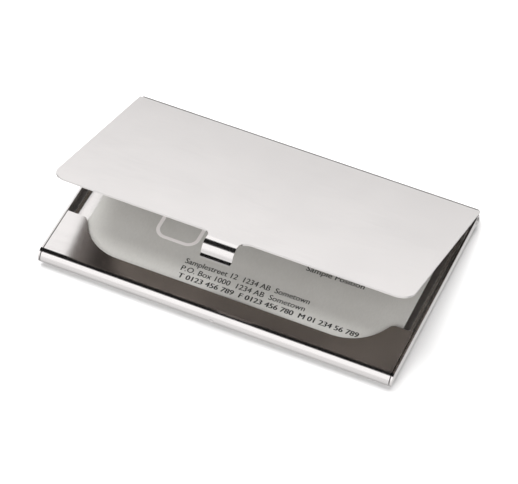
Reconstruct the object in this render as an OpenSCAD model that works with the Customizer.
// Slim sheet-metal business card case with a hinged lid, a latch tab and a bowed card spring.
// Folded tray, flat lid, two hinge rivets. Millimetres, +Z up, origin at the centre of the
// footprint on the underside of the tray, lid drawn part open.

/* [Case] */
// Overall width of the tray, outside the side walls
case_w = 95; // [92:1:116]
// Overall depth, front of the nose to the back of the lid as drawn
case_d = 60; // [59.5:0.5:75]
// Height of the tray, underside of the floor to the top of the flap
tray_h = 4.4; // [4.2:0.1:5.4]
// Thickness of the tray's sheet
sheet_t = 0.5; // [0.4:0.1:0.6]

/* [Flap] */
// Depth of the flap at its ears, from the front of the nose
ear_depth = 15.6; // [15:0.2:19]
// Depth of the flap in the middle of the scoop
strip_depth = 6.6; // [5:0.2:8]
// Slit between the flap and each side wall
flap_slit = 0.25; // [0.15:0.05:0.4]
// Width of each ear at its rear edge
ear_w = 4.15; // [3:0.05:8]
// Radius of the rounded corner of each ear
ear_r = 2; // [1:0.1:2.5]
// Radius of the scoop's curved ends
scoop_r = 13; // [9:0.5:14]

/* [Lid] */
// Thickness of the lid's sheet
lid_t = 0.5; // [0.4:0.1:0.8]
// Amount by which each side of the lid stops short of the tray's outside
lid_inset = 0.1; // [0:0.05:0.4]
// Gap between the closed lid and the top of the flap
closed_gap = 0.1; // [0.1:0.05:0.3]
// Angle of the lid above closed, as drawn
open_angle = 22; // [0:1:60]
// Radius of the lid's two front corners
lid_corner_r = 4; // [1:0.5:8]
// Distance the closed lid's front edge stops behind the start of the nose
lid_setback = 2.5; // [1.5:0.1:3.5]
// Outside radius of the roll along the lid's rear edge
roll_r = 2.4; // [2:0.1:2.6]
// Angle through which the rear edge is rolled
roll_angle = 105; // [80:5:120]

/* [Latch tab] */
// Width of the tab
tab_w = 8.2; // [6:0.1:20]
// Radius of the fillets between the tab and the lid's front edge
tab_fillet = 2.6; // [1.5:0.1:2.8]
// Gap between the closed tab and the nose
tab_gap = 0.1; // [0.1:0.05:0.3]
// Height of the straight part below the tab's curl
tab_drop = 0.7; // [0.4:0.1:1.2]
// Length of the finger lip
lip_len = 0.9; // [0.5:0.1:1.5]
// Angle of the finger lip away from the nose
lip_angle = 58; // [40:1:70]
// Radius of the tab's lower corners
tab_corner_r = 1.1; // [0.5:0.1:1.5]
// Diameter of the latch dimple pressed into the nose
dimple_d = 1.3; // [0.8:0.1:2]
// Depth of the latch dimple
dimple_depth = 0.12; // [0.05:0.01:0.2]

/* [Hinge] */
// Distance from the back of the lid, as drawn, to the pivot
pivot_back = 3.7; // [3.5:0.1:5]
// Depth of the pivot below the top of the side walls
pivot_drop = 1.6; // [1.5:0.05:1.8]
// Diameter of the rivet's shank
rivet_d = 1.4; // [1:0.1:1.8]
// Diameter of the rivet's heads
rivet_head_d = 2.4; // [2:0.1:2.8]
// Height of the rivet's domed outer head
rivet_dome_h = 0.45; // [0.3:0.05:0.7]
// Thickness of the rivet's inner head
rivet_clinch_t = 0.4; // [0.3:0.05:0.6]
// Radial running clearance of the shank in the lid's ear
run_gap = 0.05; // [0.02:0.01:0.1]
// Gap between the lid's ear and the side wall
hinge_ear_gap = 0.3; // [0.2:0.05:0.5]
// Length of the lid's hinge ear ahead of the pivot
hinge_ear_len = 4.5; // [3:0.5:12]
// Radius of the hinge ear about the pivot
hinge_ear_r = 1.4; // [1.2:0.05:1.45]
// Gap between the ear and the rivet's inner head
clinch_gap = 0.1; // [0.05:0.05:0.2]

/* [Card] */
// Width of a business card
card_w = 85; // [80:1:90]
// Depth of a business card
card_d = 55; // [50:1:55]
// Thickness of the card
card_t = 0.35; // [0.25:0.05:0.6]
// Distance the card lies to the right of the middle
card_shift = 1.4; // [-1.5:0.1:1.5]
// Gap between the card and the underside of the flap
card_gap = 0.05; // [0.02:0.01:0.2]

/* [Card spring] */
// Length of the leaf between its two feet
leaf_span = 48; // [30:1:60]
// Width of the leaf
leaf_w = 12; // [8:1:20]
// Thickness of the leaf
leaf_t = 0.2; // [0.15:0.05:0.3]
// Length of each flat foot
foot_len = 6; // [5:0.5:10]
// Gap between the top of the bow and the card
leaf_gap = 0.03; // [0.02:0.01:0.2]
// Diameter of each spring rivet's shank
pin_d = 1; // [0.8:0.1:1.4]
// Diameter of each spring rivet's head
pin_head_d = 1.8; // [1.5:0.1:2.4]
// Height of each spring rivet's head
pin_head_h = 0.35; // [0.2:0.05:0.5]
// Distance between the two spring rivets
pin_pitch = 6; // [4:0.5:10]

/* [Hidden] */
$fn = 96;
eps = 0.01;
metal = [0.86, 0.85, 0.84];
spring_steel = [0.7, 0.71, 0.73];
paper = [0.9, 0.9, 0.88];

nose_r = tray_h / 2;
fold_r = tray_h / 2;
inner_w = case_w - 2 * sheet_t;
flap_w = inner_w - 2 * flap_slit;
front_y = -case_d / 2;
nose_y = front_y + nose_r;
pivot_y = case_d / 2 - pivot_back;
pivot_z = tray_h - pivot_drop;
wall_end_r = pivot_drop;
wall_end_slant = 30;
ear_y = front_y + ear_depth;
strip_y = front_y + strip_depth;
slit_floor = 0.9 * nose_r;
dimple_floor_d = 0.4 * dimple_d;

lid_w = case_w - 2 * lid_inset;
lid_under = tray_h + closed_gap;
lid_top = lid_under + lid_t;
lid_front_y = nose_y + lid_setback;
roll_w = inner_w - 2 * hinge_ear_gap;
roll_z = lid_top - roll_r;
roll_y = pivot_y + (pivot_back - roll_r - (roll_z - pivot_z) * sin(open_angle)) / cos(open_angle);
swing_r = norm([roll_y - pivot_y, roll_z - pivot_z]) + roll_r + 0.2;
floor_in_swing = pivot_z > 0.75 * swing_r;
curl_in = nose_r + max(closed_gap, tab_gap);
curl_out = curl_in + lid_t;
curl_z = lid_under - curl_in;
lip_end_z = curl_z - tab_drop - lip_len * cos(lip_angle) - lid_t;

ear_out_x = inner_w / 2 - hinge_ear_gap;
ear_in_x = ear_out_x - lid_t;
clinch_x = ear_in_x - clinch_gap;

card_top = tray_h - sheet_t - card_gap;
card_under = card_top - card_t;
card_rear_y = pivot_y + sqrt(pow(wall_end_r, 2) - pow(card_top - pivot_z, 2));
card_y = min(nose_y, card_rear_y - card_d) + card_d / 2;
bow_top = card_under - leaf_gap;
bow_rise = bow_top - leaf_t - sheet_t;

// Extrudes a side view, drawn as (y, z), along X to the given width, centred on x = 0.
module along_x(width) {
    rotate([90, 0, 90]) translate([0, 0, -width / 2]) linear_extrude(width) children();
}

// Extrudes a front view, drawn as (x, z), along Y between two places.
module along_y(y_from, y_to) {
    translate([0, y_to, 0]) rotate([90, 0, 0]) linear_extrude(y_to - y_from) children();
}

// Side view of the folded tray: round nose in front, open behind.
module tray_outline(inset) {
    translate([nose_y, nose_r]) circle(nose_r - inset);
    translate([nose_y, inset]) square([pivot_y - nose_y, tray_h - 2 * inset]);
}

// Rear end of the tray: round about the pivot, then slanting forwards down to the floor.
module wall_end_outline() {
    touch = wall_end_r * [cos(wall_end_slant), -sin(wall_end_slant)];
    foot = touch[0] - (pivot_z + touch[1]) * tan(wall_end_slant);
    translate([pivot_y, pivot_z]) {
        circle(wall_end_r);
        polygon([[-1, 0], [-1, -pivot_z], [foot, -pivot_z], touch, [0, 0]]);
    }
}

// Front view of the tray's section: upright side walls with a round fold at each foot.
module wall_section(inset, top) {
    half = case_w / 2 - inset;
    for (side = [-1, 1])
        translate([side * (case_w / 2 - fold_r), fold_r]) circle(fold_r - inset);
    translate([-half + fold_r - inset, inset]) square([2 * (half - fold_r + inset), top - inset]);
    translate([-half, fold_r]) square([2 * half, top - fold_r]);
}

// Plan of the flap with its scoop: straight ears, rounded corners, curved ends, a straight strip.
module flap_plan() {
    sweep = 60;
    top_x = flap_w / 2 - ear_w;
    fillet_c = [top_x, ear_y - ear_r];
    fillet_end = fillet_c + ear_r * [-sin(sweep), cos(sweep)];
    arc_rise = scoop_r * (1 - cos(sweep));
    straight = (fillet_end[1] - strip_y - arc_rise) / sin(sweep);
    arc_end = fillet_end - straight * [cos(sweep), sin(sweep)];
    arc_c = [arc_end[0] - scoop_r * sin(sweep), strip_y + scoop_r];
    steps = 24;
    right = concat(
        [for (a = [0 : sweep / steps : sweep]) arc_c + scoop_r * [sin(a), -cos(a)]],
        [for (a = [sweep : -sweep / steps : 0]) fillet_c + ear_r * [-sin(a), cos(a)]],
        [[flap_w / 2, ear_y], [flap_w / 2, front_y]]);
    left = [for (i = [len(right) - 1 : -1 : 0]) [-right[i][0], right[i][1]]];
    polygon(concat(right, left));
}

// Tray: floor, side walls, round nose and pocket flap, folded from one sheet.
module tray() {
    color(metal) difference() {
        intersection() {
            union() {
                along_x(case_w) tray_outline(0);
                along_x(case_w) wall_end_outline();
            }
            along_y(front_y, case_d / 2) wall_section(0, tray_h);
        }
        // inside of the fold, left closed on top where the flap is
        intersection() {
            along_x(case_w) {
                tray_outline(sheet_t);
                translate([pivot_y - 1, sheet_t]) square([case_d, tray_h - 2 * sheet_t]);
            }
            along_y(front_y, case_d) wall_section(sheet_t, 2 * tray_h);
        }
        // open top, everywhere but the flap
        difference() {
            translate([-inner_w / 2, nose_y, tray_h - 2 * sheet_t]) cube([inner_w, case_d, tray_h]);
            linear_extrude(2 * tray_h) flap_plan();
        }
        // slits beside the flap and the upper half of the nose
        for (side = [-1, 1])
            translate([side * (inner_w - flap_slit) / 2 - flap_slit / 2, front_y - 1, slit_floor])
                cube([flap_slit, ear_depth + 2, tray_h]);
        // rivet holes
        along_x(2 * case_w) translate([pivot_y, pivot_z]) circle(d = rivet_d, $fn = 48);
        // room for the lid's roll behind a deep floor
        if (floor_in_swing) along_x(roll_w + 0.3) translate([pivot_y, pivot_z]) circle(swing_r);
        // spring rivet holes
        spring_pins(2 * sheet_t, pin_d, -sheet_t / 2);
        // latch dimple
        translate([0, front_y + dimple_depth, nose_r]) rotate([90, 0, 0])
            cylinder(h = 2 * dimple_depth, d1 = dimple_floor_d, d2 = 2 * dimple_d - dimple_floor_d, $fn = 32);
    }
}

// Two upright pins at the spring's fixed foot.
module spring_pins(height, diameter, z) {
    for (side = [-1, 1])
        translate([-(leaf_span + foot_len) / 2, side * pin_pitch / 2, z])
            cylinder(h = height, d = diameter, $fn = 32);
}

// Side view of the lid's rear roll, from its top round to the free edge.
module roll_outline() {
    translate([roll_y, roll_z]) intersection() {
        difference() { circle(roll_r); circle(roll_r - lid_t); }
        polygon(concat([[0, 0]],
            [for (a = [0 : roll_angle / 4 : roll_angle]) 2 * roll_r * [sin(a), cos(a)]]));
    }
}

// Side view of the latch tab: curl over the nose, short drop, finger lip.
module tab_outline() {
    translate([nose_y - eps, lid_under]) square([lid_setback + 2 + eps, lid_t]);
    translate([nose_y, curl_z]) {
        intersection() {
            difference() { circle(curl_out); circle(curl_in); }
            translate([-2 * curl_out, 0]) square(2 * curl_out);
        }
        translate([-curl_out, -tab_drop]) square([lid_t, tab_drop + eps]);
        translate([-curl_out, -tab_drop]) {
            // elbow, then the lip
            intersection() {
                circle(lid_t);
                polygon([[0, 0], [2 * lid_t, 0], [2 * lid_t, -2 * lid_t],
                    2 * lid_t * [cos(lip_angle), -sin(lip_angle)]]);
            }
            rotate(-90 - lip_angle) square([lip_len, lid_t]);
        }
    }
}

// Plan of the tab with fillets where it leaves the lid's front edge.
module tab_plan() {
    reach = lid_setback + curl_out + lip_len + 1;
    translate([-tab_w / 2, lid_front_y - reach]) square([tab_w, reach + 1]);
    difference() {
        translate([-tab_w / 2 - tab_fillet, lid_front_y - tab_fillet])
            square([tab_w + 2 * tab_fillet, tab_fillet + 1]);
        for (side = [-1, 1])
            translate([side * (tab_w / 2 + tab_fillet), lid_front_y - tab_fillet]) circle(tab_fillet);
    }
}

// Front view of the tab, with rounded lower corners.
module tab_front() {
    wide = tab_w + 2 * tab_fillet;
    translate([-wide / 2, curl_z]) square([wide, 2 * tray_h]);
    translate([-tab_w / 2, lip_end_z + tab_corner_r]) square([tab_w, tray_h]);
    translate([-tab_w / 2 + tab_corner_r, lip_end_z]) square([tab_w - 2 * tab_corner_r, tray_h]);
    for (side = [-1, 1])
        translate([side * (tab_w / 2 - tab_corner_r), lip_end_z + tab_corner_r]) circle(tab_corner_r);
}

// Plan of the lid's plate: square rear corners, rounded front corners.
module lid_plan() {
    half = lid_w / 2;
    front_mid = lid_front_y + lid_corner_r;
    translate([-half, front_mid]) square([lid_w, roll_y - front_mid]);
    translate([-half + lid_corner_r, lid_front_y]) square([lid_w - 2 * lid_corner_r, roll_y - lid_front_y]);
    for (side = [-1, 1]) translate([side * (half - lid_corner_r), front_mid]) circle(lid_corner_r);
}

// Side view of one hinge ear.
module hinge_ear_outline() {
    corner = 1.2;
    low_z = pivot_z - hinge_ear_r;
    front = pivot_y - hinge_ear_len;
    difference() {
        union() {
            translate([pivot_y, pivot_z]) circle(hinge_ear_r);
            translate([front + corner, low_z]) square([hinge_ear_len - corner, lid_under + eps - low_z]);
            translate([front, low_z + corner]) square([hinge_ear_len, lid_under + eps - low_z - corner]);
            translate([front + corner, low_z + corner]) circle(corner);
        }
        translate([pivot_y, pivot_z]) circle(d = rivet_d + 2 * run_gap, $fn = 48);
    }
}

// Lid in its closed place.
module lid_closed() {
    translate([0, 0, lid_under]) linear_extrude(lid_t) lid_plan();
    along_x(roll_w) roll_outline();
    intersection() {
        along_x(tab_w + 2 * tab_fillet + 2) tab_outline();
        linear_extrude(2 * lid_top) tab_plan();
        along_y(front_y - 10, 0) tab_front();
    }
    for (side = [-1, 1])
        translate([side * (ear_out_x + ear_in_x) / 2, 0, 0]) along_x(lid_t) hinge_ear_outline();
}

// Lid: plate, rear roll, hinge ears and latch tab, folded from one sheet.
module lid() {
    color(metal)
        translate([0, pivot_y, pivot_z]) rotate([-open_angle, 0, 0]) translate([0, -pivot_y, -pivot_z])
            lid_closed();
}

// Hinge rivet on the right: shank, domed outer head and flat inner head, turned about its axis.
module hinge_rivet() {
    inner_x = clinch_x - rivet_clinch_t;
    dome_r = (pow(rivet_head_d / 2, 2) + pow(rivet_dome_h, 2)) / (2 * rivet_dome_h);
    color(metal) translate([0, pivot_y, pivot_z]) rotate([0, 90, 0]) rotate_extrude() {
        translate([0, inner_x]) square([rivet_head_d / 2, rivet_clinch_t]);
        translate([0, inner_x]) square([rivet_d / 2, case_w / 2 - inner_x + eps]);
        intersection() {
            translate([0, case_w / 2 + rivet_dome_h - dome_r]) circle(dome_r);
            translate([0, case_w / 2]) square(rivet_head_d);
        }
    }
}

module hinge_rivet_right() { hinge_rivet(); }
module hinge_rivet_left() { mirror([1, 0, 0]) hinge_rivet(); }

// Side of the leaf at the given height above its underside: a smooth bow between its feet.
function leaf_line(lift) = let (steps = 40)
    [for (i = [0 : steps]) let (x = leaf_span * (i / steps - 0.5))
        [x, sheet_t + lift + bow_rise * pow(cos(180 * x / leaf_span), 2)]];

// Card spring: a leaf bowed up between two flat feet, fixed at its left foot.
module card_spring() {
    end_x = leaf_span / 2 + foot_len;
    top = leaf_line(leaf_t);
    color(spring_steel) difference() {
        along_y(-leaf_w / 2, leaf_w / 2) polygon(concat(
            [[-end_x, sheet_t]], leaf_line(0), [[end_x, sheet_t], [end_x, sheet_t + leaf_t]],
            [for (i = [len(top) - 1 : -1 : 0]) top[i]], [[-end_x, sheet_t + leaf_t]]));
        spring_pins(tray_h, pin_d, 0);
    }
}

// Spring rivets: two small rivets through the leaf's fixed foot and the floor.
module spring_rivets() {
    color(metal) {
        spring_pins(sheet_t + leaf_t + eps, pin_d, 0);
        spring_pins(pin_head_h, pin_head_d, sheet_t + leaf_t);
    }
}

// Business card, held up under the flap by the spring.
module business_card() {
    color(paper) translate([card_shift - card_w / 2, card_y - card_d / 2, card_under])
        cube([card_w, card_d, card_t]);
}

tray();
lid();
hinge_rivet_left();
hinge_rivet_right();
card_spring();
spring_rivets();
business_card();
